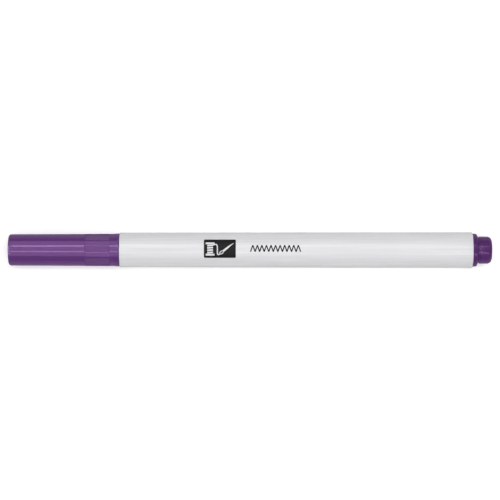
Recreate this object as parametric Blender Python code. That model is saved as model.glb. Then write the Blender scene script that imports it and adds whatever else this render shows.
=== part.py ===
"""Fabric marking pen, capped, lying along X with the nib towards -X.

Every piece is turned about the X axis, so each has its own outline function: a list of corners
(x, radius, fillet) in millimetres, which turned() rounds, spins and closes. The cap's six grip
flats are cut afterwards. The origin is on the pen's axis, at the middle of its length.
"""
from math import atan2, cos, pi, radians, sin, tan

import bmesh
import bpy
from mathutils import Matrix, Vector

MM = 0.001

# Overall sizes, in millimetres
PEN_LENGTH = 137.8
CAP_LENGTH = 31.55
PLUG_HEAD_LENGTH = 5.5
FIT_GAP = 0.25

# Stations along the axis
CAP_END = -PEN_LENGTH / 2
CAP_MOUTH = CAP_END + CAP_LENGTH
BARREL_FRONT = CAP_MOUTH + FIT_GAP
PLUG_END = PEN_LENGTH / 2
PLUG_FLANGE = PLUG_END - PLUG_HEAD_LENGTH
BARREL_REAR = PLUG_FLANGE - FIT_GAP

# Barrel
BARREL_FRONT_RADIUS = 4.98
BARREL_REAR_RADIUS = 5.12
BARREL_BORE = 4.0
FRONT_SOCKET_RADIUS = 4.25
FRONT_SOCKET_DEPTH = 9.5
REAR_SOCKET_RADIUS = 4.3
REAR_SOCKET_DEPTH = 8.5
BARREL_FRONT_EDGE = 0.15
BARREL_REAR_EDGE = 0.45

# Cap
CAP_TOP_RADIUS = 4.5
CAP_WAIST_RADIUS = 4.64
CAP_LIP_RADIUS = 4.8
CAP_LIP_LENGTH = 2.0
CAP_TOP_WALL = 1.0
CAP_TOP_EDGE = 0.7
CAP_LIP_EDGE = 0.3
CAP_MOUTH_EDGE = 0.15
CAP_INNER_EDGE = 0.3
CAP_BORE = 3.75
CAP_MOUTH_BORE = 3.95
CAP_MOUTH_BORE_DEPTH = 2.7
CAP_MOUTH_BORE_TAPER = 0.3
SNAP_GROOVE_DEPTH = 0.12
SNAP_PLACE = 6.6  # from the cap's mouth to the middle of the snap ring and its groove

# Grip flats on the cap
FLAT_COUNT = 6
FLAT_FIRST_ANGLE = 84.5  # direction of the first flat's middle, from +Y towards +Z
FLAT_SPAN = 54.0  # angle that one flat takes of the cap's round
FLAT_START = 22.0  # from the cap's end to where a flat's long edges begin
FLAT_LENGTH = 6.8
FLAT_RUN_OUT_SLOPE = 55.0
FLAT_SHOULDER_SLOPE = 70.0
CUTTER_HEIGHT = 1.0  # how far the cutters reach above the lip
CUTTER_WIDTH_SHARE = 0.93  # of the width at which neighbouring cutters would meet

# Inner seal
SEAL_OUTER_RADIUS = 3.5
SEAL_INNER_RADIUS = 3.05
SEAL_END_WALL = 0.6
SEAL_LENGTH = 17.5
SEAL_LIP_LENGTH = 1.2
SEAL_EDGE = 0.3

# Front section
STUB_RADIUS = FRONT_SOCKET_RADIUS - FIT_GAP
STUB_LENGTH = FRONT_SOCKET_DEPTH - FIT_GAP
NECK_RADIUS = 3.45
NECK_LENGTH = 10.0
NECK_STEP_LENGTH = 0.7
SNAP_RING_RADIUS = 3.65
SNAP_RING_LENGTH = 1.0
HOLDER_RADIUS = 2.7
HOLDER_END = 17.5  # from the barrel's front end to where the tip cone begins
CONE_END = 20.5
CONE_END_RADIUS = 1.75
CONE_EDGE = 0.15
SECTION_EDGE = 0.3
SECTION_BORE = 2.2
SECTION_BORE_END = 9.0

# Nib
NIB_RADIUS = 1.1
NIB_FREE_LENGTH = 4.3
NIB_TAPER_LENGTH = 2.6
NIB_POINT_RADIUS = 0.45
NIB_POINT_EDGE = 0.35
NIB_TAPER_EDGE = 2.0
NIB_REAR_TAPER = 1.0
NIB_DEPTH = 6.0  # how far it goes into the reservoir
NIB_CLEARANCE = 0.25

# Reservoir and its film
RESERVOIR_RADIUS = 3.3
FILM_INNER_RADIUS = RESERVOIR_RADIUS + FIT_GAP
FILM_THICKNESS = 0.15
RESERVOIR_EDGE = 0.4

# End plug
PLUG_STEM_RADIUS = REAR_SOCKET_RADIUS - FIT_GAP
PLUG_STEM_LENGTH = 8.0
PLUG_CORE_RADIUS = 2.9
PLUG_CORE_DEPTH = 12.0
FLANGE_RADIUS = 4.78
FLANGE_WIDTH = 1.15
FLANGE_FOOT_RADIUS = 4.05
FLANGE_CHAMFER = 0.37
GROOVE_RADIUS = 3.78
GROOVE_WIDTH = 0.35
SPIGOT_RADIUS = 3.92
SPIGOT_END_RADIUS = 3.87
SPIGOT_EDGE = 1.25
SPIGOT_FOOT_LENGTH = 0.1
PLUG_STEM_EDGE = 0.5
PLUG_CORE_EDGE = 0.6
FLANGE_EDGE = 0.12
FLANGE_DRAFT = 0.12
FLANGE_TOP_EDGE = 0.3
GROOVE_SLOPE_LENGTH = 0.1

# Smoothness
SIDES = 32
FILLET_STEPS = 4
SHARP_ANGLE = radians(35)
NEARLY_STRAIGHT = radians(89.4)  # half the angle at a corner too flat to round
MERGE = 1e-7


def clear_scene():
    for thing in list(bpy.data.objects):
        bpy.data.objects.remove(thing, do_unlink=True)


def plastic(name, colour, roughness, alpha=1.0):
    """A Principled material in one colour."""
    material = bpy.data.materials.new(name)
    material.use_nodes = True
    shader = material.node_tree.nodes["Principled BSDF"]
    shader.inputs["Base Color"].default_value = (*colour, 1.0)
    shader.inputs["Roughness"].default_value = roughness
    shader.inputs["Metallic"].default_value = 0.0
    shader.inputs["Alpha"].default_value = alpha
    material.diffuse_color = (*colour, alpha)
    return material


def fillet_points(before, corner, after, radius):
    """Points of the arc of this radius that rounds one corner of an outline."""
    here = Vector(corner)
    back = (Vector(before) - here).normalized()
    ahead = (Vector(after) - here).normalized()
    half = back.angle(ahead) / 2
    if radius == 0 or half > NEARLY_STRAIGHT:
        return [here]
    reach = radius / tan(half)
    middle = here + (back + ahead).normalized() * (radius / sin(half))
    start = here + back * reach - middle
    end = here + ahead * reach - middle
    turn = atan2(start.x * end.y - start.y * end.x, start.dot(end))
    points = []
    for step in range(FILLET_STEPS + 1):
        angle = turn * step / FILLET_STEPS
        points.append(middle + Matrix.Rotation(angle, 2) @ start)
    return points


def rounded(outline):
    """The outline (x, radius, fillet) as plain points, with its corners rounded."""
    corners = [(x, r) for x, r, _ in outline]
    points = []
    for index, (x, r, fillet) in enumerate(outline):
        before = corners[index - 1]
        after = corners[(index + 1) % len(corners)]
        points += fillet_points(before, (x, r), after, fillet)
    return points


def turned(name, outline, material):
    """A closed body made by spinning a closed outline once about the X axis."""
    mesh = bpy.data.meshes.new(name)
    builder = bmesh.new()
    start = pi / SIDES  # half a step, so that a facet and not an edge faces straight down
    verts = []
    for point in rounded(outline):
        radius = max(point.y, 0.0) * MM
        verts.append(builder.verts.new((point.x * MM, radius * cos(start), radius * sin(start))))
    edges = []
    for index, vert in enumerate(verts):
        following = verts[(index + 1) % len(verts)]
        edges.append(builder.edges.new((vert, following)))
    bmesh.ops.spin(builder, geom=verts + edges, axis=(1, 0, 0), cent=(0, 0, 0), steps=SIDES,
                   angle=2 * pi, use_merge=True)
    bmesh.ops.remove_doubles(builder, verts=builder.verts, dist=MERGE)
    loose = [edge for edge in builder.edges if not edge.link_faces]
    bmesh.ops.delete(builder, geom=loose, context="EDGES")
    bmesh.ops.recalc_face_normals(builder, faces=builder.faces)
    builder.to_mesh(mesh)
    builder.free()
    mesh.shade_smooth()
    mesh.set_sharp_from_angle(angle=SHARP_ANGLE)
    mesh.materials.append(material)
    piece = bpy.data.objects.new(name, mesh)
    bpy.context.scene.collection.objects.link(piece)
    return piece


def barrel_outline():
    """The tube, with a stepped socket at each end."""
    front_step = BARREL_FRONT + FRONT_SOCKET_DEPTH
    rear_step = BARREL_REAR - REAR_SOCKET_DEPTH
    return [
        (BARREL_FRONT, FRONT_SOCKET_RADIUS, 0),
        (BARREL_FRONT, BARREL_FRONT_RADIUS, BARREL_FRONT_EDGE),
        (BARREL_REAR, BARREL_REAR_RADIUS, BARREL_REAR_EDGE),
        (BARREL_REAR, REAR_SOCKET_RADIUS, 0),
        (rear_step, REAR_SOCKET_RADIUS, 0),
        (rear_step, BARREL_BORE, 0),
        (front_step, BARREL_BORE, 0),
        (front_step, FRONT_SOCKET_RADIUS, 0),
    ]


def cap_outline():
    """The cap: closed flat end, waist, flared lip, and a stepped bore with a snap groove."""
    flare_start = CAP_MOUTH - CAP_LIP_LENGTH
    groove = CAP_MOUTH - SNAP_PLACE
    half_groove = SNAP_RING_LENGTH / 2
    groove_radius = CAP_BORE + SNAP_GROOVE_DEPTH
    return [
        (CAP_END, 0, 0),
        (CAP_END, CAP_TOP_RADIUS, CAP_TOP_EDGE),
        (flare_start, CAP_WAIST_RADIUS, 0),
        (CAP_MOUTH, CAP_LIP_RADIUS, CAP_LIP_EDGE),
        (CAP_MOUTH, CAP_MOUTH_BORE, CAP_MOUTH_EDGE),
        (CAP_MOUTH - CAP_MOUTH_BORE_DEPTH, CAP_MOUTH_BORE, 0),
        (CAP_MOUTH - CAP_MOUTH_BORE_DEPTH - CAP_MOUTH_BORE_TAPER, CAP_BORE, 0),
        (groove + half_groove, CAP_BORE, 0),
        (groove, groove_radius, 0),
        (groove - half_groove, CAP_BORE, 0),
        (CAP_END + CAP_TOP_WALL, CAP_BORE, CAP_INNER_EDGE),
        (CAP_END + CAP_TOP_WALL, 0, 0),
    ]


def seal_outline():
    """The liner cup that closes round the tip holder."""
    end = CAP_END + CAP_TOP_WALL + FIT_GAP
    mouth = end + SEAL_LENGTH
    return [
        (end, 0, 0),
        (end, SEAL_OUTER_RADIUS, SEAL_EDGE),
        (mouth - SEAL_LIP_LENGTH, SEAL_OUTER_RADIUS, 0),
        (mouth, (SEAL_OUTER_RADIUS + SEAL_INNER_RADIUS) / 2, 0),
        (mouth, SEAL_INNER_RADIUS, 0),
        (end + SEAL_END_WALL, SEAL_INNER_RADIUS, 0),
        (end + SEAL_END_WALL, 0, 0),
    ]


def section_outline():
    """The neck, the tip holder and its cone in front, the stub in the barrel behind."""
    snap = CAP_MOUTH - SNAP_PLACE
    half_snap = SNAP_RING_LENGTH / 2
    front = BARREL_FRONT - CONE_END
    rear = BARREL_FRONT + STUB_LENGTH
    bore_start = BARREL_FRONT - SECTION_BORE_END
    nib_bore = NIB_RADIUS + NIB_CLEARANCE
    return [
        (front, nib_bore, 0),
        (front, CONE_END_RADIUS, CONE_EDGE),
        (BARREL_FRONT - HOLDER_END, HOLDER_RADIUS, SECTION_EDGE),
        (BARREL_FRONT - NECK_LENGTH - NECK_STEP_LENGTH, HOLDER_RADIUS, 0),
        (BARREL_FRONT - NECK_LENGTH, NECK_RADIUS, SECTION_EDGE),
        (snap - half_snap, NECK_RADIUS, 0),
        (snap, SNAP_RING_RADIUS, SECTION_EDGE),
        (snap + half_snap, NECK_RADIUS, 0),
        (BARREL_FRONT, NECK_RADIUS, CONE_EDGE),
        (BARREL_FRONT, STUB_RADIUS, 0),
        (rear, STUB_RADIUS, SECTION_EDGE),
        (rear, SECTION_BORE, 0),
        (bore_start, SECTION_BORE, 0),
        (bore_start - (SECTION_BORE - nib_bore), nib_bore, 0),
    ]


def nib_ends():
    tip = BARREL_FRONT - CONE_END - NIB_FREE_LENGTH
    rear = reservoir_front() + NIB_DEPTH
    return tip, rear


def nib_outline():
    """The fibre rod: a rounded point in front, a blunt cone behind."""
    tip, rear = nib_ends()
    return [
        (tip, 0, 0),
        (tip, NIB_POINT_RADIUS, NIB_POINT_EDGE),
        (tip + NIB_TAPER_LENGTH, NIB_RADIUS, NIB_TAPER_EDGE),
        (rear - NIB_REAR_TAPER, NIB_RADIUS, 0),
        (rear, NIB_RADIUS / 2, 0),
        (rear, 0, 0),
    ]


def reservoir_front():
    return BARREL_FRONT + STUB_LENGTH + FIT_GAP


def reservoir_rear():
    return PLUG_FLANGE - PLUG_STEM_LENGTH - FIT_GAP


def reservoir_outline():
    """The fibre filler, with the blind hole that the nib makes in it."""
    hole_radius = NIB_RADIUS + NIB_CLEARANCE
    hole_end = reservoir_front() + NIB_DEPTH + FIT_GAP
    return [
        (hole_end, 0, 0),
        (hole_end, hole_radius, 0),
        (reservoir_front(), hole_radius, 0),
        (reservoir_front(), RESERVOIR_RADIUS, RESERVOIR_EDGE),
        (reservoir_rear(), RESERVOIR_RADIUS, RESERVOIR_EDGE),
        (reservoir_rear(), 0, 0),
    ]


def film_outline():
    outer = FILM_INNER_RADIUS + FILM_THICKNESS
    return [
        (reservoir_front(), FILM_INNER_RADIUS, 0),
        (reservoir_front(), outer, 0),
        (reservoir_rear(), outer, 0),
        (reservoir_rear(), FILM_INNER_RADIUS, 0),
    ]


def plug_outline():
    """The hollow stem in the barrel, the chamfered flange, the groove and the spigot."""
    stem_end = PLUG_FLANGE - PLUG_STEM_LENGTH
    chamfer_end = PLUG_FLANGE + FLANGE_WIDTH + FLANGE_CHAMFER
    groove_start = chamfer_end + GROOVE_SLOPE_LENGTH
    groove_end = groove_start + GROOVE_WIDTH
    core_end = stem_end + PLUG_CORE_DEPTH
    return [
        (stem_end, PLUG_CORE_RADIUS, 0),
        (stem_end, PLUG_STEM_RADIUS, PLUG_STEM_EDGE),
        (PLUG_FLANGE, PLUG_STEM_RADIUS, 0),
        (PLUG_FLANGE, FLANGE_RADIUS, FLANGE_EDGE),
        (PLUG_FLANGE + FLANGE_WIDTH, FLANGE_RADIUS - FLANGE_DRAFT, FLANGE_TOP_EDGE),
        (chamfer_end, FLANGE_FOOT_RADIUS, 0),
        (groove_start, GROOVE_RADIUS, 0),
        (groove_end, GROOVE_RADIUS, 0),
        (groove_end + SPIGOT_FOOT_LENGTH, SPIGOT_RADIUS, 0),
        (PLUG_END, SPIGOT_END_RADIUS, SPIGOT_EDGE),
        (PLUG_END, 0, 0),
        (core_end, 0, 0),
        (core_end, PLUG_CORE_RADIUS, PLUG_CORE_EDGE),
    ]


def flat_cutter():
    """One body for each flat: what a form tool would sweep away above it."""
    depth_radius = CAP_WAIST_RADIUS * cos(radians(FLAT_SPAN / 2))
    top_radius = CAP_LIP_RADIUS + CUTTER_HEIGHT
    half_width = depth_radius * tan(pi / FLAT_COUNT) * CUTTER_WIDTH_SHARE
    start = CAP_END + FLAT_START
    end = start + FLAT_LENGTH
    run_out = tan(radians(FLAT_RUN_OUT_SLOPE))
    shoulder = tan(radians(FLAT_SHOULDER_SLOPE))
    rise = top_radius - depth_radius
    side = [
        (start, depth_radius),
        (end, depth_radius),
        (end + rise / shoulder, top_radius),
        (start - rise / run_out, top_radius),
    ]
    mesh = bpy.data.meshes.new("flat_cutter")
    builder = bmesh.new()
    for index in range(FLAT_COUNT):
        verts = [builder.verts.new((x * MM, -half_width * MM, r * MM)) for x, r in side]
        face = builder.faces.new(verts)
        grown = bmesh.ops.extrude_face_region(builder, geom=[face])
        moved = [item for item in grown["geom"] if isinstance(item, bmesh.types.BMVert)]
        bmesh.ops.translate(builder, verts=moved, vec=(0, 2 * half_width * MM, 0))
        angle = radians(FLAT_FIRST_ANGLE - 90 + 360 * index / FLAT_COUNT)
        bmesh.ops.rotate(builder, verts=verts + moved, cent=(0, 0, 0),
                         matrix=Matrix.Rotation(angle, 3, "X"))
    bmesh.ops.recalc_face_normals(builder, faces=builder.faces)
    builder.to_mesh(mesh)
    builder.free()
    cutter = bpy.data.objects.new("flat_cutter", mesh)
    bpy.context.scene.collection.objects.link(cutter)
    cutter.hide_render = True
    cutter.display_type = "WIRE"
    return cutter


def cut_grip_flats(cap):
    cut = cap.modifiers.new("grip_flats", "BOOLEAN")
    cut.operation = "DIFFERENCE"
    cut.solver = "EXACT"
    cut.object = flat_cutter()


def main():
    clear_scene()
    purple = plastic("cap_purple", (0.15, 0.06, 0.22), 0.35)
    plug_purple = plastic("plug_purple", (0.1, 0.035, 0.15), 0.3)
    white = plastic("barrel_white", (0.86, 0.86, 0.87), 0.3)
    section_white = plastic("section_white", (0.82, 0.82, 0.82), 0.4)
    liner = plastic("liner_natural", (0.75, 0.75, 0.72), 0.4)
    fibre = plastic("nib_fibre", (0.25, 0.05, 0.35), 0.8)
    filler = plastic("filler_fibre", (0.35, 0.12, 0.5), 0.9)
    clear = plastic("clear_film", (0.9, 0.9, 0.92), 0.15, 0.3)

    cap_body = bpy.data.objects.new("cap_body", None)
    cap_body.location = (CAP_MOUTH * MM, 0, 0)
    bpy.context.scene.collection.objects.link(cap_body)
    bpy.context.view_layer.update()

    cap = turned("cap_shell", cap_outline(), purple)
    cut_grip_flats(cap)
    seal = turned("cap_inner_seal", seal_outline(), liner)
    for piece in (cap, seal):
        piece.parent = cap_body
        piece.matrix_parent_inverse = cap_body.matrix_world.inverted()

    turned("barrel", barrel_outline(), white)
    turned("front_section", section_outline(), section_white)
    turned("nib", nib_outline(), fibre)
    turned("ink_reservoir", reservoir_outline(), filler)
    turned("reservoir_film", film_outline(), clear)
    turned("end_plug", plug_outline(), plug_purple)


main()
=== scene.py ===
"""Looks of the fabric marking pen: fine turned meshes, print, plastics, fibre and a plain studio.

The pen's sizes are in millimetres and become metres when a mesh is made; the studio is in metres.
X runs along the pen from the cap to the end plug, angles run from +Y towards +Z, and stations
along the pen come from the CAD boxes.
"""
from math import asin, atan, atan2, cos, degrees, pi, radians, sin, tan

import bpy
import numpy as np
from mathutils import Matrix, Vector


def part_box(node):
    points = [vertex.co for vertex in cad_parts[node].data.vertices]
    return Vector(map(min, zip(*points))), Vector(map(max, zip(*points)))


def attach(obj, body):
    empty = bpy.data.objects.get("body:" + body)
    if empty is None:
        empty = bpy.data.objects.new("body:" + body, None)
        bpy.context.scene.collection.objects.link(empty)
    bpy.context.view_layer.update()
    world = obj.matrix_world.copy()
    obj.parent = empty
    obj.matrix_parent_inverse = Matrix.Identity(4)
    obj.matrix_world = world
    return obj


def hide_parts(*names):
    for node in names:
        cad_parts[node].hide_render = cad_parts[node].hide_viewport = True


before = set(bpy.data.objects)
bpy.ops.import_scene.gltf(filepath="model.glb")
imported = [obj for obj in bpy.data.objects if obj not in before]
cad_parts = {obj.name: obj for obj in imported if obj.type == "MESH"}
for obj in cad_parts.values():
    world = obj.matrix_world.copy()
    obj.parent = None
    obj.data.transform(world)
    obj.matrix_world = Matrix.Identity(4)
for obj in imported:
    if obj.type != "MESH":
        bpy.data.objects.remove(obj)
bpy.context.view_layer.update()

MM = 0.001
CAD_SIDES = 32
TRUE_ROUND = 1 / cos(pi / CAD_SIDES)  # from a faceted piece's half height to its round radius


def span(node):
    """Where a CAD node starts and ends along the pen."""
    low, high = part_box(node)
    return low.x / MM, high.x / MM


def round_radius(node):
    """The largest radius of a CAD node."""
    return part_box(node)[1].z / MM * TRUE_ROUND


# Stations along the pen. The solids keep a gap where pieces touch, which the looks close to SEAM.
# SNAP is where the cap's groove and the neck's ring meet.
SEAM = 0.05
PLUG_HEAD = 5.5
CAP_END, CAD_MOUTH = span("cap_shell")
CAD_FRONT, CAD_REAR = span("barrel")
SEAL_END, SEAL_MOUTH = span("cap_inner_seal")
SECTION_FRONT, SECTION_REAR = span("front_section")
NIB_TIP, NIB_REAR = span("nib")
FILLER_FRONT, FILLER_REAR = span("ink_reservoir")
PLUG_START, PLUG_END = span("end_plug")
FLANGE = PLUG_END - PLUG_HEAD
CAP_MOUTH = (CAD_MOUTH + CAD_FRONT - SEAM) / 2
BARREL_FRONT = CAP_MOUTH + SEAM
BARREL_REAR = FLANGE - SEAM
SNAP_DEPTH = 6.6
SNAP_HALF_WIDTH = 0.5
SNAP = CAD_MOUTH - SNAP_DEPTH


# ---- Outlines ----------------------------------------------------------------------------------
# An outline is a closed list of corners, each (x, radius, fillet), that is turned round the X axis.

FILLET_STEPS = 8
ALMOST_STRAIGHT = radians(89.4)


def fillet_points(before, corner, after, radius, convex_turn):
    """Points (x, radius, wear) that round one corner of an outline. Convex edges take the wear."""
    here = Vector(corner)
    back = (Vector(before) - here).normalized()
    ahead = (Vector(after) - here).normalized()
    half = back.angle(ahead) / 2
    if radius == 0 or half > ALMOST_STRAIGHT:
        return [(here.x, here.y, 0.0)]
    convex = (ahead.x * back.y - ahead.y * back.x) * convex_turn > 0
    reach = radius / tan(half)
    middle = here + (back + ahead).normalized() * (radius / sin(half))
    start = here + back * reach - middle
    end = here + ahead * reach - middle
    turn = atan2(start.x * end.y - start.y * end.x, start.dot(end))
    points = []
    for step in range(FILLET_STEPS + 1):
        share = step / FILLET_STEPS
        point = middle + Matrix.Rotation(turn * share, 2) @ start
        points.append((point.x, point.y, sin(pi * share) if convex else 0.0))
    return points


def rounded(outline):
    """The outline with its corners rounded, as points (x, radius, wear)."""
    corners = [(x, r) for x, r, _ in outline]
    area = 0.0
    for index, (x, r) in enumerate(corners):
        x_next, r_next = corners[(index + 1) % len(corners)]
        area += x * r_next - x_next * r
    convex_turn = 1 if area < 0 else -1
    points = []
    for index, (x, r, fillet) in enumerate(outline):
        before = corners[index - 1]
        after = corners[(index + 1) % len(corners)]
        points += fillet_points(before, (x, r), after, fillet, convex_turn)
    return points


def refined(points, step):
    """The outline with long stretches split, so that none is longer than step(x) allows."""
    result = []

    def split(a, b):
        middle = tuple((p + q) / 2 for p, q in zip(a, b))
        if abs(b[0] - a[0]) <= step(middle[0]):
            return
        split(a, middle)
        result.append(middle)
        split(middle, b)

    for index, point in enumerate(points):
        result.append(point)
        split(point, points[(index + 1) % len(points)])
    return result


# ---- Meshes ------------------------------------------------------------------------------------

COLUMNS = 192
ON_AXIS = 1e-6
SHARP_ANGLE = radians(40)


def add_piece(name, points, faces, material, wear=None):
    """A smooth-shaded object from points in millimetres."""
    mesh = bpy.data.meshes.new(name)
    mesh.from_pydata((np.asarray(points) * MM).tolist(), [], faces)
    mesh.validate()
    if signed_volume(mesh) < 0:
        mesh.flip_normals()
    mesh.shade_smooth()
    mesh.set_sharp_from_angle(angle=SHARP_ANGLE)
    if wear is not None:
        layer = mesh.attributes.new("wear", "FLOAT", "POINT")
        layer.data.foreach_set("value", np.asarray(wear, dtype=np.float32))
    mesh.materials.append(material)
    piece = bpy.data.objects.new(name, mesh)
    bpy.context.scene.collection.objects.link(piece)
    return piece


def signed_volume(mesh):
    """Six times the mesh's volume, negative when its faces point in."""
    mesh.calc_loop_triangles()
    count = len(mesh.loop_triangles)
    corners = np.empty(count * 3, dtype=np.int32)
    mesh.loop_triangles.foreach_get("vertices", corners)
    places = np.empty(len(mesh.vertices) * 3)
    mesh.vertices.foreach_get("co", places)
    a, b, c = places.reshape(-1, 3)[corners.reshape(-1, 3)].transpose(1, 0, 2)
    return float(np.einsum("ij,ij->i", a, np.cross(b, c)).sum())


def plain_step(x):
    """The longest stretch between rows where nothing but the outline changes."""
    return 2.0


def turned(name, outline, material, step=plain_step, columns=None, shape=None):
    """A turned piece. shape(x, angles, r) may cut into the round and returns (radii, wear)."""
    if columns is None:
        columns = np.arange(COLUMNS) * 2 * pi / COLUMNS
    count = len(columns)
    rows = refined(rounded(outline), step)
    points, wear, starts = [], [], []
    for x, r, edge in rows:
        starts.append(len(points))
        if r < ON_AXIS:
            points.append((x, 0.0, 0.0))
            wear.append(0.0)
            continue
        radii, worn = np.full(count, r), np.full(count, edge)
        if shape:
            radii, crease = shape(x, columns, r)
            worn = np.maximum(worn, crease)
        ring = (np.full(count, x), radii * np.cos(columns), radii * np.sin(columns))
        points.extend(np.column_stack(ring).tolist())
        wear.extend(worn.tolist())
    poles = [r < ON_AXIS for _, r, _ in rows]
    faces = []
    for index in range(len(rows)):
        following = (index + 1) % len(rows)
        faces += strip_faces(starts[index], poles[index], starts[following], poles[following],
                             count)
    return add_piece(name, points, faces, material, wear)


def strip_faces(here, here_is_pole, there, there_is_pole, count):
    """Faces between two neighbouring rings, either of which may be a pole on the axis."""
    if here_is_pole and there_is_pole:
        return []
    faces = []
    for index in range(count):
        following = (index + 1) % count
        if here_is_pole:
            faces.append((here, there + following, there + index))
        elif there_is_pole:
            faces.append((here + index, here + following, there))
        else:
            faces.append((here + index, here + following, there + following, there + index))
    return faces


def fit(piece, body, slot, *nodes):
    """Hangs a piece on its body and hides the CAD nodes that it stands for. slot is not used."""
    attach(piece, body)
    if nodes:
        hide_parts(*nodes)


# ---- Material nodes ----------------------------------------------------------------------------


class Surface:
    """A Principled material and short names for the nodes that feed it."""

    def __init__(self, name, roughness, **sockets):
        self.material = bpy.data.materials.new(name)
        self.material.use_nodes = True
        self.nodes = self.material.node_tree.nodes
        self.links = self.material.node_tree.links
        self.shader = self.nodes["Principled BSDF"]
        self.shader.inputs["Roughness"].default_value = roughness
        for socket, value in sockets.items():
            self.shader.inputs[socket.replace("_", " ")].default_value = value

    def node(self, kind, **settings):
        made = self.nodes.new(kind)
        for name, value in settings.items():
            setattr(made, name, value)
        return made

    def place(self, along=1.0):
        """Object coordinates in metres. An along below 1 draws a pattern out along the pen."""
        coords = self.node("ShaderNodeTexCoord")
        mapping = self.node("ShaderNodeMapping")
        mapping.inputs["Scale"].default_value = (along, 1, 1)
        self.links.new(coords.outputs["Object"], mapping.inputs["Vector"])
        return mapping.outputs["Vector"]

    def noise(self, place, per_metre, detail=2.0, roughness=0.5):
        made = self.node("ShaderNodeTexNoise")
        made.inputs["Scale"].default_value = per_metre
        made.inputs["Detail"].default_value = detail
        made.inputs["Roughness"].default_value = roughness
        self.links.new(place, made.inputs["Vector"])
        return made.outputs["Fac"]

    def remap(self, value, from_low, from_high, to_low, to_high):
        made = self.node("ShaderNodeMapRange")
        ends = (("From Min", from_low), ("From Max", from_high), ("To Min", to_low),
                ("To Max", to_high))
        for name, end in ends:
            made.inputs[name].default_value = end
        self.links.new(value, made.inputs["Value"])
        return made.outputs["Result"]

    def spread(self, noise, to_low=0.0, to_high=1.0, width=0.4):
        """Noise, which mostly stays near a half, spread evenly from to_low to to_high."""
        return self.remap(noise, 0.5 - width / 2, 0.5 + width / 2, to_low, to_high)

    def maths(self, operation, a, b):
        made = self.node("ShaderNodeMath", operation=operation)
        for socket, value in zip(made.inputs, (a, b)):
            if isinstance(value, (int, float)):
                socket.default_value = value
            else:
                self.links.new(value, socket)
        return made.outputs["Value"]

    def scaled(self, value, factor):
        """The socket times a number."""
        return self.maths("MULTIPLY", value, factor)

    def total(self, first, *others):
        """The sum of the sockets."""
        for other in others:
            first = self.maths("ADD", first, other)
        return first

    def blend(self, factor, first, second):
        """A colour between two, each given as three numbers or as a socket."""
        made = self.node("ShaderNodeMix", data_type="RGBA")
        self.links.new(factor, made.inputs["Factor"])
        for name, colour in (("A", first), ("B", second)):
            socket = [s for s in made.inputs if s.name == name and s.type == "RGBA"][0]
            if isinstance(colour, tuple):
                socket.default_value = (*colour, 1.0)
            else:
                self.links.new(colour, socket)
        return [s for s in made.outputs if s.type == "RGBA"][0]

    def wear(self):
        """How exposed an edge is, from the mesh."""
        return self.node("ShaderNodeAttribute", attribute_name="wear").outputs["Fac"]

    def relief(self, layers):
        """Bumps, each (height socket, distance in metres), one on another."""
        normal = None
        for height, distance in layers:
            made = self.node("ShaderNodeBump")
            made.inputs["Distance"].default_value = distance
            made.inputs["Strength"].default_value = 1.0
            self.links.new(height, made.inputs["Height"])
            if normal:
                self.links.new(normal, made.inputs["Normal"])
            normal = made.outputs["Normal"]
        self.links.new(normal, self.shader.inputs["Normal"])

    def colour(self, socket):
        self.links.new(socket, self.shader.inputs["Base Color"])

    def roughness(self, socket):
        self.links.new(socket, self.shader.inputs["Roughness"])


# ---- Plastics ----------------------------------------------------------------------------------

HAZE = 0.012  # how far the roughness drifts either way
SCUFF_DULLING = 0.04  # what scuffs add to the roughness
RUB_DULLING = 0.12  # what a rubbed edge adds to it
RUB_STAIN = 0.35  # how much of the worn tone a rubbed edge takes
DRAW_LINE_DEPTH = 0.0000012
PURPLE_GLOSS = (0.84, 0.54, 1.0, 1.0)


def plastic(name, base, deep, worn, gloss, wave, grain, drawn=None, **sockets):
    """Plastic: flow shading, slow waviness, fine grain, rubbed edges and scuffs.

    The tone drifts from base to deep, and gloss is the roughness. wave and grain are the heights
    of bumps in metres. An extruded tube also has draw lines along it, in a tone of their own.
    """
    s = Surface(name, gloss, **sockets)
    even = s.place()
    flowing = s.place(along=0.12)
    flow = s.spread(s.noise(flowing, per_metre=420, detail=3.0))
    mottle = s.spread(s.noise(even, per_metre=1500, detail=3.0, roughness=0.6))
    shade = s.blend(s.scaled(s.total(flow, mottle), 0.5), base, deep)
    bumps = [
        (s.noise(s.place(along=0.16), per_metre=260), wave),
        (s.noise(even, per_metre=9000), grain),
    ]
    if drawn:
        lines = s.spread(s.noise(s.place(along=0.02), per_metre=2300), width=0.3)
        shade = s.blend(lines, shade, drawn)
        bumps.append((lines, DRAW_LINE_DEPTH))
    patchy = s.remap(s.noise(even, per_metre=1900, detail=3.0), 0.4, 0.62, 0.15, 1.0)
    rub = s.maths("MULTIPLY", s.wear(), patchy)
    s.colour(s.blend(s.scaled(rub, RUB_STAIN), shade, worn))
    scratches = s.noise(s.place(along=0.05), per_metre=5200, detail=4.0, roughness=0.7)
    scuffs = s.remap(scratches, 0.58, 0.72, 0.0, SCUFF_DULLING)
    haze = s.spread(s.noise(flowing, per_metre=700), gloss - HAZE, gloss + HAZE)
    s.roughness(s.total(haze, scuffs, s.scaled(rub, RUB_DULLING)))
    s.relief(bumps)
    return s.material


def cap_purple():
    """Satin purple, with reflections that are tinted purple too."""
    return plastic("cap_purple", base=(0.114, 0.036, 0.18), deep=(0.104, 0.032, 0.164),
                   worn=(0.22, 0.12, 0.29), gloss=0.13, wave=0.00003, grain=0.000001,
                   IOR=1.65, Specular_Tint=PURPLE_GLOSS)


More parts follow.
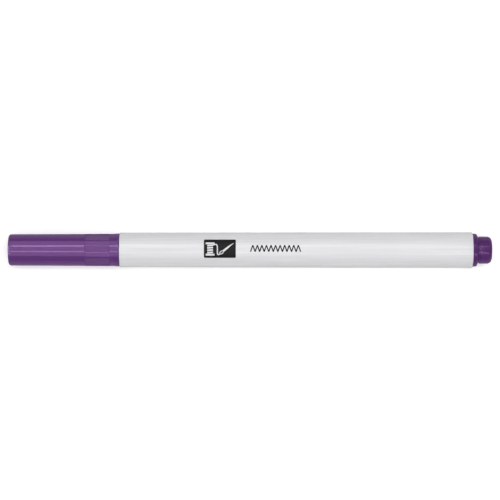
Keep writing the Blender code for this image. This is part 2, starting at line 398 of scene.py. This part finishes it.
def plug_purple():
    """A darker purple than the cap's."""
    return plastic("plug_purple", base=(0.088, 0.025, 0.135), deep=(0.079, 0.0225, 0.12),
                   worn=(0.18, 0.1, 0.24), gloss=0.13, wave=0.00002, grain=0.000001,
                   IOR=1.6, Specular_Tint=PURPLE_GLOSS)


def barrel_white():
    """The extruded white tube, with greyer draw lines."""
    return plastic("barrel_white", base=(0.765, 0.763, 0.78), deep=(0.753, 0.752, 0.769),
                   worn=(0.78, 0.78, 0.79), gloss=0.26, wave=0.00001, grain=0.000001,
                   drawn=(0.705, 0.705, 0.722), IOR=1.52)


def section_white():
    """Moulded white, a little warmer and duller than the barrel."""
    return plastic("section_white", base=(0.72, 0.72, 0.71), deep=(0.68, 0.68, 0.67),
                   worn=(0.76, 0.76, 0.75), gloss=0.34, wave=0.00002, grain=0.0000015)


def liner_natural():
    """Uncoloured soft plastic."""
    return plastic("liner_natural", base=(0.7, 0.7, 0.67), deep=(0.64, 0.64, 0.61),
                   worn=(0.74, 0.74, 0.72), gloss=0.38, wave=0.00002, grain=0.0000015)


# ---- Fibres and film ---------------------------------------------------------------------------


def fibre(name, pale, dark, strands_per_metre, height):
    """Fibres along the pen: streaks of two tones, rough, with a little sheen."""
    s = Surface(name, 0.85, Sheen_Weight=0.25, Sheen_Roughness=0.5)
    even = s.place()
    streaks = s.noise(s.place(along=0.02), strands_per_metre, detail=4.0, roughness=0.7)
    strands = s.spread(streaks, width=0.3)
    patches = s.spread(s.noise(even, strands_per_metre * 0.2, detail=3.0))
    s.colour(s.blend(s.total(s.scaled(strands, 0.7), s.scaled(patches, 0.3)), pale, dark))
    s.roughness(s.remap(strands, 0.0, 1.0, 0.72, 0.92))
    s.relief([(strands, height), (s.noise(even, strands_per_metre * 1.4), height * 0.4)])
    return s.material


def nib_fibre():
    """Pressed fibre, dark with ink."""
    return fibre("nib_fibre", pale=(0.27, 0.06, 0.38), dark=(0.1, 0.015, 0.17),
                 strands_per_metre=9000, height=0.00002)


def filler_fibre():
    """Soft coarse fibre, soaked with ink."""
    return fibre("filler_fibre", pale=(0.42, 0.18, 0.55), dark=(0.22, 0.06, 0.34),
                 strands_per_metre=5000, height=0.00004)


def clear_film():
    """Thin wrinkled clear wrap."""
    s = Surface("clear_film", 0.12, Transmission_Weight=0.9, IOR=1.45)
    tint = s.spread(s.noise(s.place(along=0.2), per_metre=600, detail=3.0))
    s.colour(s.blend(tint, (0.93, 0.93, 0.95), (0.82, 0.82, 0.86)))
    s.roughness(s.spread(s.noise(s.place(), per_metre=900, detail=3.0), 0.08, 0.2))
    s.relief([(s.noise(s.place(along=0.3), per_metre=500, detail=3.0), 0.00003)])
    return s.material


# ---- Cap, with six grip flats of which two have a low raised bar --------------------------------

CAP_TOP_RADIUS = 4.5
CAP_WAIST_RADIUS = 4.64
CAP_LIP_RADIUS = round_radius("cap_shell")
CAP_LIP_LENGTH = 2.0
CAP_END_WALL = 1.0
CAP_END_CROWN = 0.02
CAP_BORE = 3.75
CAP_MOUTH_BORE = 3.95
CAP_MOUTH_DEPTH = 2.7
CAP_MOUTH_TAPER = 0.3
SNAP_GROOVE_DEPTH = 0.12
GATE_RADIUS = 0.9
GATE_SLOPE = 0.1
GATE_DEPTH = 0.12

# FLAT_FIRST is the middle of the flat that faces up, and the bars are on it and its opposite.
FLAT_COUNT = 6
FLAT_PITCH = 2 * pi / FLAT_COUNT
FLAT_FIRST = radians(87.4)
FLAT_HALF_SPAN = radians(26.2)
FLAT_START = CAP_END + 22.0
FLAT_END = FLAT_START + 6.8
FLAT_HEIGHT = CAP_WAIST_RADIUS * cos(FLAT_HALF_SPAN)
RUN_OUT_SLOPE = tan(radians(80))
SHOULDER_SLOPE = tan(radians(62))
CREASE_SOFTNESS = 0.02
CREASE_WEAR = 0.2
FLATS_PER_BAR = 3
BAR_HALF_WIDTH = 1.1
BAR_SHOULDER = 0.28
BAR_HEIGHT = 0.031


def cap_outline():
    """Over the outside from the closed end to the mouth, and back along the bore."""
    gate_floor = CAP_END + GATE_DEPTH
    lip_start = CAP_MOUTH - CAP_LIP_LENGTH
    mouth_bore_end = CAD_MOUTH - CAP_MOUTH_DEPTH
    inner_end = CAP_END + CAP_END_WALL
    return [
        (gate_floor, 0, 0),
        (gate_floor, GATE_RADIUS, 0.08),
        (CAP_END, GATE_RADIUS + GATE_SLOPE, 0.08),
        (CAP_END + CAP_END_CROWN, CAP_TOP_RADIUS, 0.6),
        (lip_start, CAP_WAIST_RADIUS, 1.5),
        (CAP_MOUTH, CAP_LIP_RADIUS, 0.3),
        (CAP_MOUTH, CAP_MOUTH_BORE, 0.15),
        (mouth_bore_end, CAP_MOUTH_BORE, 0),
        (mouth_bore_end - CAP_MOUTH_TAPER, CAP_BORE, 0),
        (SNAP + SNAP_HALF_WIDTH, CAP_BORE, 0),
        (SNAP, CAP_BORE + SNAP_GROOVE_DEPTH, 0.3),
        (SNAP - SNAP_HALF_WIDTH, CAP_BORE, 0),
        (inner_end, CAP_BORE, 0.3),
        (inner_end, 0, 0),
    ]


def cap_columns():
    """Angles round the cap: close together at the flats' long edges and the bars' shoulders.

    They are laid out in degrees for one side of a flat, mirrored, and repeated for every flat.
    """
    half = degrees(FLAT_HALF_SPAN)
    bar = degrees(atan((BAR_HALF_WIDTH - BAR_SHOULDER / 2) / FLAT_HEIGHT))
    bar_reach, edge_reach, past_edge = 3.6, 2.6, 2.4
    across = np.linspace(0, bar - bar_reach, 5)[1:]
    shoulder = bar + np.arange(-2.8, 2.9, 0.7)
    between = np.linspace(bar + bar_reach, half - edge_reach, 4)
    edge = half + np.array([-1.4, -0.7, -0.3, 0.0, 0.3, 0.7, 1.4])
    one_side = np.concatenate((across, shoulder, between, edge, [half + past_edge]))
    sector = np.concatenate((-one_side[::-1], [0.0], one_side))
    angles = [FLAT_FIRST + FLAT_PITCH * k + np.radians(sector) for k in range(FLAT_COUNT)]
    return np.concatenate(angles)


def cap_step(x):
    """Rows are closest where the flats begin and end."""
    run_out, shoulder, inward = 1.3, 0.6, 0.3
    finest, fine, coarse = 0.05, 0.25, 1.0
    at_start = FLAT_START - run_out < x < FLAT_START + inward
    at_end = FLAT_END - inward < x < FLAT_END + shoulder
    if at_start or at_end:
        return finest
    return fine if FLAT_START < x < FLAT_END else coarse


def smooth_min(a, b, softness):
    """The smaller of two values with the crease between them rounded, and how near it is."""
    near = np.clip(1 - np.abs(a - b) / softness, 0, 1)
    return np.minimum(a, b) - near * near * softness / 4, near


def grip_shape(x, angles, r):
    """Cuts the six flats: plane floors, a short steep run-out and a sloping shoulder."""
    turn = (angles - FLAT_FIRST + FLAT_PITCH / 2) / FLAT_PITCH
    lean = (turn - np.floor(turn) - 0.5) * FLAT_PITCH
    rise = max(0.0, (FLAT_START - x) * RUN_OUT_SLOPE, (x - FLAT_END) * SHOULDER_SLOPE)
    inside = (BAR_HALF_WIDTH - np.abs(FLAT_HEIGHT * np.tan(lean))) / BAR_SHOULDER
    inside = np.clip(inside, 0, 1) * (np.floor(turn) % FLATS_PER_BAR == 0)
    bar = BAR_HEIGHT * inside * inside * (3 - 2 * inside)
    flat = (FLAT_HEIGHT + rise + bar) / np.cos(lean)
    radii, near = smooth_min(np.full(len(angles), r), flat, CREASE_SOFTNESS)
    return radii, near * CREASE_WEAR


def add_cap():
    cap = turned("cap", cap_outline(), cap_purple(), cap_step, cap_columns(), grip_shape)
    fit(cap, "cap", "cap_purple", "cap_shell")


# ---- Cap liner ---------------------------------------------------------------------------------

SEAL_RADIUS = 3.5
SEAL_BORE = 3.05
SEAL_BASE = 0.6
SEAL_TAPER = 1.2


def seal_outline():
    """A small cup, open towards the mouth, with a tapered lip."""
    lip = (SEAL_RADIUS + SEAL_BORE) / 2
    return [
        (SEAL_END, 0, 0),
        (SEAL_END, SEAL_RADIUS, 0.3),
        (SEAL_MOUTH - SEAL_TAPER, SEAL_RADIUS, 0.3),
        (SEAL_MOUTH, lip, 0.08),
        (SEAL_MOUTH, SEAL_BORE, 0.08),
        (SEAL_END + SEAL_BASE, SEAL_BORE, 0.4),
        (SEAL_END + SEAL_BASE, 0, 0),
    ]


def add_cap_liner():
    seal = turned("cap_liner", seal_outline(), liner_natural())
    fit(seal, "cap", "liner_natural", "cap_inner_seal")


# ---- Barrel ------------------------------------------------------------------------------------

BARREL_FRONT_RADIUS = 4.98
BARREL_REAR_RADIUS = round_radius("barrel")
BARREL_BORE = 4.0
FRONT_SOCKET = 4.25
FRONT_SOCKET_DEPTH = 9.5
REAR_SOCKET = 4.3
REAR_SOCKET_DEPTH = 8.5


def barrel_outline():
    """An open tube that thickens towards the rear, with a wider socket at each end."""
    front_step = CAD_FRONT + FRONT_SOCKET_DEPTH
    rear_step = CAD_REAR - REAR_SOCKET_DEPTH
    return [
        (BARREL_FRONT, FRONT_SOCKET, 0.08),
        (BARREL_FRONT, BARREL_FRONT_RADIUS, 0.14),
        (BARREL_REAR, BARREL_REAR_RADIUS, 0.25),
        (BARREL_REAR, REAR_SOCKET, 0.08),
        (rear_step, REAR_SOCKET, 0),
        (rear_step, BARREL_BORE, 0),
        (front_step, BARREL_BORE, 0),
        (front_step, FRONT_SOCKET, 0),
    ]


def add_barrel():
    barrel = turned("barrel_tube", barrel_outline(), barrel_white())
    fit(barrel, "barrel", "barrel_white", "barrel")


# ---- Front section -----------------------------------------------------------------------------

# Lengths here run forward from the barrel's front edge.
NECK_RADIUS = 3.45
NECK_LENGTH = 10.0
NECK_STEP = 0.7
SNAP_RING_RADIUS = 3.65
HOLDER_RADIUS = 2.7
HOLDER_REACH = 17.5
CONE_TIP_RADIUS = 1.75
NIB_BORE = 1.15
STUB_RADIUS = 4.0
STUB_BORE = 2.2
BORE_TAPER_START = 9.0
BORE_TAPER_END = 10.0
VENT_COUNT = 4
VENT_DEPTH = 0.14
VENT_HALF_WIDTH = 0.3
VENT_SIDE = 0.1
VENT_STOP = 0.8
SLOT_DEPTH = 0.34
SLOT_HALF_WIDTH = 0.17
SLOT_SIDE = 0.06
SLOT_LENGTH = 1.5
SLOT_FADE = 0.3


def section_outline():
    """Cone, tip holder, neck with its snap ring, and the stub in the barrel; then the bores."""
    neck_end = CAD_FRONT - NECK_LENGTH
    return [
        (SECTION_FRONT, NIB_BORE, 0.05),
        (SECTION_FRONT, CONE_TIP_RADIUS, 0.15),
        (CAD_FRONT - HOLDER_REACH, HOLDER_RADIUS, 0.5),
        (neck_end - NECK_STEP, HOLDER_RADIUS, 0.25),
        (neck_end, NECK_RADIUS, 0.3),
        (SNAP - SNAP_HALF_WIDTH, NECK_RADIUS, 0.1),
        (SNAP, SNAP_RING_RADIUS, 0.3),
        (SNAP + SNAP_HALF_WIDTH, NECK_RADIUS, 0.1),
        (CAD_FRONT, NECK_RADIUS, 0.2),
        (CAD_FRONT, STUB_RADIUS, 0.12),
        (SECTION_REAR, STUB_RADIUS, 0.3),
        (SECTION_REAR, STUB_BORE, 0),
        (CAD_FRONT - BORE_TAPER_START, STUB_BORE, 0),
        (CAD_FRONT - BORE_TAPER_END, NIB_BORE, 0),
    ]


def section_shape(x, angles, r):
    """Vent grooves along the neck, and short slots in the tip of the cone round the nib."""
    turn = (angles + pi / VENT_COUNT) % (2 * pi / VENT_COUNT) - pi / VENT_COUNT
    across = np.abs(turn) * r
    depth = np.zeros(len(angles))
    slot_end = SECTION_FRONT + SLOT_LENGTH
    on_neck = NECK_RADIUS - 0.02 < r < STUB_RADIUS - 0.1 and x < CAD_FRONT - VENT_STOP
    on_cone_tip = r > NIB_BORE + 0.15 and x < slot_end
    if on_neck:
        depth = VENT_DEPTH * np.clip((VENT_HALF_WIDTH - across) / VENT_SIDE, 0, 1)
    if on_cone_tip:
        fade = min(1.0, (slot_end - x) / SLOT_FADE)
        depth = SLOT_DEPTH * fade * np.clip((SLOT_HALF_WIDTH - across) / SLOT_SIDE, 0, 1)
    return r - depth, np.zeros(len(angles))


def section_step(x):
    """Rows are closest at the slots, and close along the vent grooves."""
    finest, fine, margin = 0.1, 0.3, 0.2
    if x < SECTION_FRONT + SLOT_LENGTH + margin:
        return finest
    return fine if x < CAD_FRONT else plain_step(x)


def add_tip_section():
    section = turned("tip_section", section_outline(), section_white(), section_step,
                     shape=section_shape)
    fit(section, "barrel", "section_white", "front_section")


# ---- Nib ---------------------------------------------------------------------------------------

NIB_RADIUS = 1.1
NIB_TIP_RADIUS = 0.45
NIB_BULLET_LENGTH = 2.6
NIB_REAR_TAPER = 1.0


def nib_outline():
    """A rod with a bullet tip and a tapered rear end."""
    return [
        (NIB_TIP, 0, 0),
        (NIB_TIP, NIB_TIP_RADIUS, 0.36),
        (NIB_TIP + NIB_BULLET_LENGTH, NIB_RADIUS, 2.5),
        (NIB_REAR - NIB_REAR_TAPER, NIB_RADIUS, 0),
        (NIB_REAR, NIB_RADIUS / 2, 0),
        (NIB_REAR, 0, 0),
    ]


def nib_step(x):
    """Rows close enough for the bullet tip."""
    return 0.5


def add_nib():
    nib = turned("fibre_nib", nib_outline(), nib_fibre(), nib_step)
    fit(nib, "barrel", "nib_fibre", "nib")


# ---- Ink filler and its wrap -------------------------------------------------------------------

FILLER_RADIUS = 3.3
FILLER_HOLE = 1.35
FILLER_HOLE_SPARE = 0.25
FILM_INNER_RADIUS = 3.55
FILM_OUTER_RADIUS = 3.7


def filler_outline():
    """A rod with a blind hole at the front for the nib."""
    hole_end = NIB_REAR + FILLER_HOLE_SPARE
    return [
        (hole_end, 0, 0),
        (hole_end, FILLER_HOLE, 0.2),
        (FILLER_FRONT, FILLER_HOLE, 0.1),
        (FILLER_FRONT, FILLER_RADIUS, 0.4),
        (FILLER_REAR, FILLER_RADIUS, 0.4),
        (FILLER_REAR, 0, 0),
    ]


def film_outline():
    """A thin open sleeve round the filler."""
    return [
        (FILLER_FRONT, FILM_INNER_RADIUS, 0),
        (FILLER_FRONT, FILM_OUTER_RADIUS, 0),
        (FILLER_REAR, FILM_OUTER_RADIUS, 0),
        (FILLER_REAR, FILM_INNER_RADIUS, 0),
    ]


def add_ink_filler():
    filler = turned("ink_filler", filler_outline(), filler_fibre())
    fit(filler, "barrel", "filler_fibre", "ink_reservoir")


def add_filler_wrap():
    film = turned("filler_wrap", film_outline(), clear_film())
    fit(film, "barrel", "clear_film", "reservoir_film")


# ---- End plug ----------------------------------------------------------------------------------

STEM_RADIUS = 4.05
STEM_BORE = 2.9
STEM_DEPTH = 12.0
FLANGE_RADIUS = 4.78
FLANGE_TAPER_RADIUS = 4.66
FLANGE_TAPER_END = FLANGE + 1.15
CHAMFER_END = FLANGE + 1.52
GROOVE_RADIUS = 3.78
GROOVE_START = FLANGE + 1.62
GROOVE_END = FLANGE + 1.97
SPIGOT_START = FLANGE + 2.07
SPIGOT_RADIUS = 3.92
SPIGOT_END_RADIUS = 3.87
DIMPLE_RADIUS = 0.8
DIMPLE_DEPTH = 0.1


def plug_outline():
    """Hollow stem, flange with a chamfer, groove, and a spigot with a dimple in its end."""
    bore_end = PLUG_START + STEM_DEPTH
    dimple_floor = PLUG_END - DIMPLE_DEPTH
    return [
        (PLUG_START, STEM_BORE, 0.1),
        (PLUG_START, STEM_RADIUS, 0.5),
        (FLANGE, STEM_RADIUS, 0),
        (FLANGE, FLANGE_RADIUS, 0.12),
        (FLANGE_TAPER_END, FLANGE_TAPER_RADIUS, 0.3),
        (CHAMFER_END, STEM_RADIUS, 0.1),
        (GROOVE_START, GROOVE_RADIUS, 0.08),
        (GROOVE_END, GROOVE_RADIUS, 0.08),
        (SPIGOT_START, SPIGOT_RADIUS, 0.06),
        (PLUG_END, SPIGOT_END_RADIUS, 1.25),
        (PLUG_END, DIMPLE_RADIUS, 0.06),
        (dimple_floor, DIMPLE_RADIUS - DIMPLE_DEPTH, 0.06),
        (dimple_floor, 0, 0),
        (bore_end, 0, 0),
        (bore_end, STEM_BORE, 0.6),
    ]


def add_plug():
    plug = turned("plug", plug_outline(), plug_purple())
    fit(plug, "barrel", "plug_purple", "end_plug")


# ---- Print: thin shells laid round the barrel ---------------------------------------------------
# A point of the artwork is (along the pen, round the barrel from its top towards +Y).

INK_LIFT = 0.004
INK_THICKNESS = 0.014
LABEL_MIDDLE = (-8.6, 0.42)
LABEL_SIZE = (9.06, 5.46)
LABEL_CORNER = 0.35
SAMPLE_MIDDLE = (7.2, 0.45)
SAMPLE_LENGTH = 14.2
SAMPLE_HEIGHT = 1.9
SAMPLE_ZIGZAGS = 11
SAMPLE_LINE = 0.34


def barrel_radius(x):
    """The barrel's outer radius at this station."""
    share = (x - BARREL_FRONT) / (BARREL_REAR - BARREL_FRONT)
    return BARREL_FRONT_RADIUS + (BARREL_REAR_RADIUS - BARREL_FRONT_RADIUS) * share


def wrapped(flat_point, lift):
    """A point of the flat artwork, laid round the barrel at this height above its surface."""
    x, round_way = flat_point
    radius = barrel_radius(x)
    angle = round_way / radius
    return x, (radius + lift) * sin(angle), (radius + lift) * cos(angle)


def shell_faces(first, rows, columns):
    """Faces of a closed shell whose lower and upper grids follow each other from this vertex."""

    def at(i, j, layer):
        return first + i * columns + j + layer * rows * columns

    faces = []
    last_row, last_column = rows - 1, columns - 1
    for i in range(last_row):
        for j in range(last_column):
            faces.append((at(i, j, 1), at(i + 1, j, 1), at(i + 1, j + 1, 1), at(i, j + 1, 1)))
            faces.append((at(i, j, 0), at(i, j + 1, 0), at(i + 1, j + 1, 0), at(i + 1, j, 0)))
    for i in range(last_row):
        j = last_column
        faces.append((at(i, 0, 0), at(i + 1, 0, 0), at(i + 1, 0, 1), at(i, 0, 1)))
        faces.append((at(i, j, 1), at(i + 1, j, 1), at(i + 1, j, 0), at(i, j, 0)))
    for j in range(last_column):
        i = last_row
        faces.append((at(0, j, 1), at(0, j + 1, 1), at(0, j + 1, 0), at(0, j, 0)))
        faces.append((at(i, j, 0), at(i, j + 1, 0), at(i, j + 1, 1), at(i, j, 1)))
    return faces


def printed(name, grids, material, lift):
    """One closed thin shell for each grid of artwork points."""
    points, faces = [], []
    for grid in grids:
        faces += shell_faces(len(points), len(grid), len(grid[0]))
        for height in (lift, lift + INK_THICKNESS):
            points += [wrapped(point, height) for row in grid for point in row]
    return add_piece(name, points, faces, material)


def ribbon(line, half_widths):
    """A grid two points wide along a line of the artwork."""
    grid = []
    for index, point in enumerate(line):
        before = Vector(line[max(index - 1, 0)])
        after = Vector(line[min(index + 1, len(line) - 1)])
        along = (after - before).normalized()
        side = Vector((-along.y, along.x)) * half_widths[index]
        grid.append([tuple(Vector(point) - side), tuple(Vector(point) + side)])
    return grid


def even_ribbon(line, width):
    """A ribbon of the same width all along."""
    return ribbon(line, [width / 2] * len(line))


def between_points(start, end, pieces):
    """The points that divide a straight line into this many pieces, its ends included."""
    start, end = Vector(start), Vector(end)
    return [tuple(start.lerp(end, k / pieces)) for k in range(pieces + 1)]


def straight(start, end, width):
    """A short straight stroke, in pieces so that it bends with the barrel."""
    pieces = 4
    return even_ribbon(between_points(start, end, pieces), width)


def cubic(a, b, c, d, pieces):
    """A smooth curve from a to d that leaves towards b and arrives from c."""
    a, b, c, d = Vector(a), Vector(b), Vector(c), Vector(d)
    line = []
    for k in range(pieces + 1):
        t = k / pieces
        point = a * (1 - t) ** 3 + b * 3 * t * (1 - t) ** 2 + c * 3 * t * t * (1 - t) + d * t ** 3
        line.append(tuple(point))
    return line


def label_grid():
    """The dark label: a rectangle with round corners, in rows round the barrel."""
    width, height = LABEL_SIZE
    centre_x, centre_y = LABEL_MIDDLE
    half_columns, levels_between = 8, 25
    inner = height / 2 - LABEL_CORNER
    corner = [inner + LABEL_CORNER * sin(radians(a)) for a in range(0, 91, 10)]
    straight_part = list(np.linspace(-inner, inner, levels_between)[1:-1])
    levels = [-level for level in reversed(corner)] + straight_part + corner
    grid = []
    for level in levels:
        over = max(0.0, abs(level) - inner) / LABEL_CORNER
        half = width / 2 - LABEL_CORNER * (1 - cos(asin(min(1.0, over))))
        row = []
        for k in range(-half_columns, half_columns + 1):
            row.append((centre_x + half * k / half_columns, centre_y + level))
        grid.append(row)
    return grid


def spool_artwork():
    """A spool with its windings, about the label's middle, and where its thread leaves."""
    middle, top, foot = -2.75, 1.5, -1.75
    rim_half, rim_line, core_half = 1.25, 0.54, 0.82
    windings, slant, cover = 4, 0.07, 0.7
    grids = []
    for level in (top, foot):
        grids.append(straight((middle - rim_half, level), (middle + rim_half, level), rim_line))
    pitch = (top - foot - rim_line) / windings
    for k in range(windings):
        level = foot + rim_line / 2 + pitch * (k + 0.5)
        start = (middle - core_half, level - slant)
        end = (middle + core_half, level + slant)
        grids.append(straight(start, end, pitch * cover))
    return grids, (end[0] + 0.05, end[1])


def needle_artwork():
    """A needle: a ring for its eye and a shaft down to its point, and where thread enters."""
    eye, point = Vector((0.5, -1.1)), Vector((3.85, 1.55))
    eye_length, eye_width, rim = 0.62, 0.34, 0.24
    point_half, swell = 0.05, 0.24
    ring_pieces, shaft_pieces = 32, 12
    along = (point - eye).normalized()
    side = Vector((-along.y, along.x))
    ring = []
    for k in range(ring_pieces + 1):
        angle = 2 * pi * k / ring_pieces
        ring.append(tuple(eye + along * eye_length * cos(angle) + side * eye_width * sin(angle)))
    reach = eye_length + rim / 4
    shaft = between_points(eye + along * reach, point, shaft_pieces)
    half_widths = []
    for k in range(shaft_pieces + 1):
        half_widths.append(point_half + swell * (1 - (k / shaft_pieces) ** 2))
    return [even_ribbon(ring, rim), ribbon(shaft, half_widths)], tuple(eye - along * reach)


def label_artwork():
    """White art on the label: a spool, and its thread on the way to a needle's eye."""
    thread_pieces, thread_width = 32, 0.32
    leave_towards, arrive_from = (0.4, 2.4), (-1.6, -2.9)
    spool, leave = spool_artwork()
    needle, arrive = needle_artwork()
    curve = cubic(leave, leave_towards, arrive_from, arrive, thread_pieces)
    cx, cy = LABEL_MIDDLE
    placed = []
    for grid in spool + needle + [even_ribbon(curve, thread_width)]:
        placed.append([[(x + cx, y + cy) for x, y in row] for row in grid])
    return placed


def sample_artwork():
    """A line of zigzag stitch."""
    cx, cy = SAMPLE_MIDDLE
    start = cx - SAMPLE_LENGTH / 2
    pitch = SAMPLE_LENGTH / SAMPLE_ZIGZAGS
    half_height = SAMPLE_HEIGHT / 2
    grids = []
    for k in range(SAMPLE_ZIGZAGS):
        low = (start + pitch * k, cy - half_height)
        high = (start + pitch * (k + 0.5), cy + half_height)
        following = (start + pitch * (k + 1), cy - half_height)
        grids.append(straight(low, high, SAMPLE_LINE))
        grids.append(straight(high, following, SAMPLE_LINE))
    return grids


def ink(name, tone, worn, gloss):
    """Pad-printed ink: slightly uneven cover and a fine orange-peel surface."""
    s = Surface(name, gloss, Specular_IOR_Level=0.12)
    specks = s.noise(s.place(), per_metre=5200, detail=4.0, roughness=0.7)
    s.colour(s.blend(s.remap(specks, 0.62, 0.78, 0.0, 0.5), tone, worn))
    s.roughness(s.spread(s.noise(s.place(), per_metre=2600, detail=3.0), gloss - 0.06,
                         gloss + 0.08))
    s.relief([(s.noise(s.place(), per_metre=14000), 0.000002)])
    return s.material


def add_print():
    """The dark label, the white art on it, and the line of stitch beside it."""
    black_ink = ink("black_ink", tone=(0.008, 0.008, 0.009), worn=(0.03, 0.03, 0.032), gloss=0.38)
    white_ink = ink("white_ink", tone=(0.72, 0.72, 0.73), worn=(0.5, 0.5, 0.5), gloss=0.4)
    label = printed("label_print", [label_grid()], black_ink, INK_LIFT)
    fit(label, "barrel", "print_black")
    art_lift = INK_LIFT + INK_THICKNESS + INK_LIFT
    art = printed("label_spool", label_artwork(), white_ink, art_lift)
    fit(art, "barrel", "print_white")
    sample = printed("stitch_sample", sample_artwork(), black_ink, INK_LIFT)
    fit(sample, "barrel", "print_black")


# ---- Studio, in metres -------------------------------------------------------------------------

FLOOR_GLOW = 0.395
FAR_FLOOR_GLOW = 0.85
FLOOR_GLOW_START = 0.3
FLOOR_GLOW_END = 1.2
CARD_GLOW = 0.24
CARD_GAP = 0.0002
AIR_GLOW = 0.17
FLOOR_HALF_SIZE = 3.0
WALL_RADIUS = 2.9
WALL_FOOT = -0.02
WALL_TOP = 4.0
WALL_SIDES = 48
CAMERA_HEIGHT = 0.6
CAMERA_X = -0.00005
CAMERA_ROLL = radians(0.03)
FIELD_OF_VIEW = radians(13.58)
SENSOR_WIDTH = 36.0
WHITE = (1.0, 1.0, 1.0, 1.0)


def matte(name, tones, patches_per_metre, **sockets):
    """A glowing matte surface in two close shades of grey."""
    s = Surface(name, 0.9, Emission_Color=WHITE, **sockets)
    tone = s.spread(s.noise(s.place(), patches_per_metre))
    s.colour(s.blend(tone, *[(grey, grey, grey) for grey in tones]))
    return s


def add_stage_mesh(name, points, faces, material):
    """A mesh of the studio, which isn't part of the pen."""
    mesh = bpy.data.meshes.new(name)
    mesh.from_pydata(points, [], faces)
    mesh.materials.append(material)
    item = bpy.data.objects.new(name, mesh)
    bpy.context.scene.collection.objects.link(item)
    return item


def add_plane(name, level, material):
    size = FLOOR_HALF_SIZE
    corners = [(-size, -size, level), (size, -size, level), (size, size, level),
               (-size, size, level)]
    return add_stage_mesh(name, corners, [(0, 1, 2, 3)], material)


def add_floor():
    """A wide pale floor under the barrel, and the darker card that the gloss reflects instead.

    The floor glows more with distance, so that its far parts stay as white as its middle.
    """
    level = -BARREL_REAR_RADIUS * MM
    paper = matte("studio_paper", (0.8, 0.82), 30, Specular_IOR_Level=0.2)
    away = paper.node("ShaderNodeVectorMath", operation="LENGTH")
    paper.links.new(paper.place(), away.inputs[0])
    glow = paper.remap(away.outputs["Value"], FLOOR_GLOW_START, FLOOR_GLOW_END, FLOOR_GLOW,
                       FAR_FLOOR_GLOW)
    paper.links.new(glow, paper.shader.inputs["Emission Strength"])
    floor = add_plane("studio_floor", level, paper.material)
    floor.visible_glossy = False
    grey = matte("studio_card", (0.4, 0.42), 30, Specular_IOR_Level=0.2,
                 Emission_Strength=CARD_GLOW)
    card = add_plane("studio_card", level - CARD_GAP, grey.material)
    card.visible_camera = card.visible_diffuse = card.visible_shadow = False


def add_wall():
    """A pale wall round the floor, for the camera alone."""
    paint = matte("studio_wall", (0.02, 0.03), 3, Emission_Strength=1.0)
    points, faces = [], []
    for k in range(WALL_SIDES):
        angle = 2 * pi * k / WALL_SIDES
        x, y = WALL_RADIUS * cos(angle), WALL_RADIUS * sin(angle)
        points += [(x, y, WALL_FOOT), (x, y, WALL_TOP)]
        following = (k + 1) % WALL_SIDES
        faces.append((2 * k, 2 * k + 1, 2 * following + 1, 2 * following))
    wall = add_stage_mesh("studio_wall", points, faces, paint.material)
    wall.visible_diffuse = wall.visible_glossy = wall.visible_transmission = False
    wall.visible_shadow = False


def add_softbox(name, centre, size, radiance, lights, turn=0.0):
    """A flat panel light facing down. It lights only diffuse shading or only the gloss."""
    light = bpy.data.lights.new(name, "AREA")
    light.shape = "RECTANGLE"
    light.size, light.size_y = size
    light.energy = radiance * light.size * light.size_y * pi
    lamp = bpy.data.objects.new(name, light)
    lamp.location = centre
    lamp.rotation_euler = (0, 0, turn)
    lamp.visible_diffuse = lights == "shape"
    lamp.visible_glossy = lights == "gloss"
    bpy.context.scene.collection.objects.link(lamp)


def add_lights():
    """Two panels shape the pen and its shadow. The others show as streaks in its gloss."""
    add_softbox("overhead_panel", (0.18, -0.14, 0.75), (1.3, 1.8), 1.14, "shape")
    add_softbox("key_panel", (0.05, 0.12, 0.74), (0.6, 0.07), 10.8, "shape")
    add_softbox("gloss_panel", (-0.73, 0.435, 0.7), (1.74, 2.27), 1.16, "gloss")
    add_softbox("end_panel", (-0.93, 0.0, 0.69), (0.84, 1.2), 7.0, "gloss")
    add_softbox("back_strip", (-0.038, 0.363, 0.69), (0.316, 0.15), 4.3, "gloss")
    add_softbox("back_strip_end", (0.56, 0.40, 0.69), (0.88, 0.12), 2.0, "gloss")
    add_softbox("front_strip", (-0.138, -0.139, 0.69), (0.12, 0.08), 3.4, "gloss", radians(8))
    add_softbox("front_strip_end", (0.21, -0.326, 0.69), (0.7, 0.08), 3.3, "gloss", radians(-34))


def add_air():
    """Even light from all round."""
    world = bpy.data.worlds.new("studio_air")
    world.use_nodes = True
    air = world.node_tree.nodes["Background"]
    air.inputs["Color"].default_value = WHITE
    air.inputs["Strength"].default_value = AIR_GLOW
    bpy.context.scene.world = world
    bpy.context.scene.view_settings.view_transform = "Standard"


def add_camera():
    """A long lens, straight above the pen."""
    camera = bpy.data.cameras.new("camera")
    camera.sensor_width = SENSOR_WIDTH
    camera.lens = SENSOR_WIDTH / 2 / tan(FIELD_OF_VIEW / 2)
    camera.clip_start, camera.clip_end = 0.05, 10.0
    holder = bpy.data.objects.new("camera", camera)
    holder.location = (CAMERA_X, 0.0, CAMERA_HEIGHT)
    holder.rotation_euler = (0.0, 0.0, CAMERA_ROLL)
    bpy.context.scene.collection.objects.link(holder)
    bpy.context.scene.camera = holder


# ---- Assembly ----------------------------------------------------------------------------------


def main():
    add_camera()
    add_floor()
    add_wall()
    add_lights()
    add_air()
    add_cap()
    add_cap_liner()
    add_barrel()
    add_tip_section()
    add_nib()
    add_ink_filler()
    add_filler_wrap()
    add_plug()
    add_print()


main()
